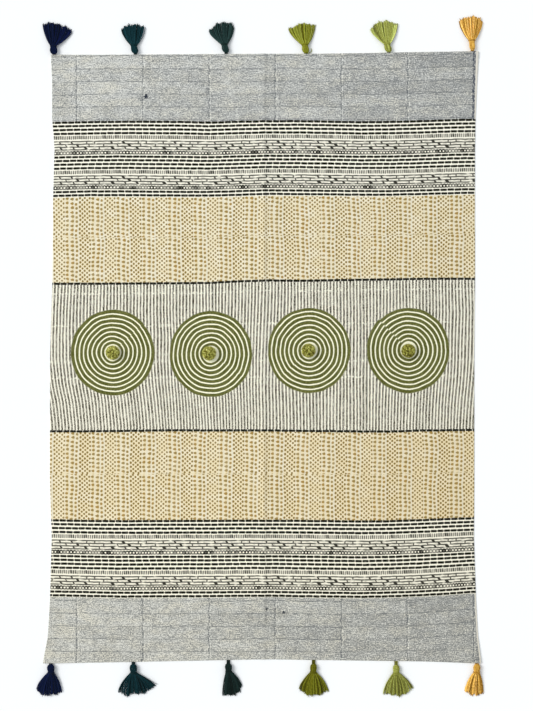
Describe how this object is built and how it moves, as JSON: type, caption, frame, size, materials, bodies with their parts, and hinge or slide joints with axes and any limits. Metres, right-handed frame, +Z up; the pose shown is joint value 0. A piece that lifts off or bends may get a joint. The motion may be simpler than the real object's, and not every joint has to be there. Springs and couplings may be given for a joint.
{
  "type": "dhurrie rug",
  "caption": "Flat-woven cotton dhurrie rug with block-printed bands and ring discs, tasselled ends and sewn-on yarn pompoms, laid flat on a floor.",
  "frame": {"origin": "on the floor, under the middle of the rug and its tassels", "axes": "+X across the rug to its right side, +Y along its length to the far end, +Z up out of the printed face"},
  "size_m": [1.2922, 1.9582, 0.0328],
  "materials": {
    "printed_cotton": "matt flat-woven ecru cotton, printed in grey, black, gold and olive",
    "yarn_navy": "matt cotton yarn",
    "yarn_teal": "matt cotton yarn",
    "yarn_green": "matt cotton yarn",
    "yarn_olive": "matt cotton yarn",
    "yarn_lime": "matt cotton yarn",
    "yarn_mustard": "matt cotton yarn",
    "pompom_yarn": "soft cut cotton and wool yarn"
  },
  "bodies": {
    "root": {"rug": "printed_cotton", "tassel_far_navy": "yarn_navy", "binding_far_navy": "yarn_navy", "tie_far_navy": "yarn_navy", "tassel_far_teal": "yarn_teal", "binding_far_teal": "yarn_teal", "tie_far_teal": "yarn_teal", "tassel_far_green": "yarn_green", "binding_far_green": "yarn_green", "tie_far_green": "yarn_green", "tassel_far_olive": "yarn_olive", "binding_far_olive": "yarn_olive", "tie_far_olive": "yarn_olive", "tassel_far_lime": "yarn_lime", "binding_far_lime": "yarn_lime", "tie_far_lime": "yarn_lime", "tassel_far_mustard": "yarn_mustard", "binding_far_mustard": "yarn_mustard", "tie_far_mustard": "yarn_mustard", "tassel_near_navy": "yarn_navy", "binding_near_navy": "yarn_navy", "tie_near_navy": "yarn_navy", "tassel_near_teal": "yarn_teal", "binding_near_teal": "yarn_teal", "tie_near_teal": "yarn_teal", "tassel_near_green": "yarn_green", "binding_near_green": "yarn_green", "tie_near_green": "yarn_green", "tassel_near_olive": "yarn_olive", "binding_near_olive": "yarn_olive", "tie_near_olive": "yarn_olive", "tassel_near_lime": "yarn_lime", "binding_near_lime": "yarn_lime", "tie_near_lime": "yarn_lime", "tassel_near_mustard": "yarn_mustard", "binding_near_mustard": "yarn_mustard", "tie_near_mustard": "yarn_mustard", "pompom_1": "pompom_yarn", "pompom_2": "pompom_yarn", "pompom_3": "pompom_yarn", "pompom_4": "pompom_yarn"}
  },
  "joints": []
}
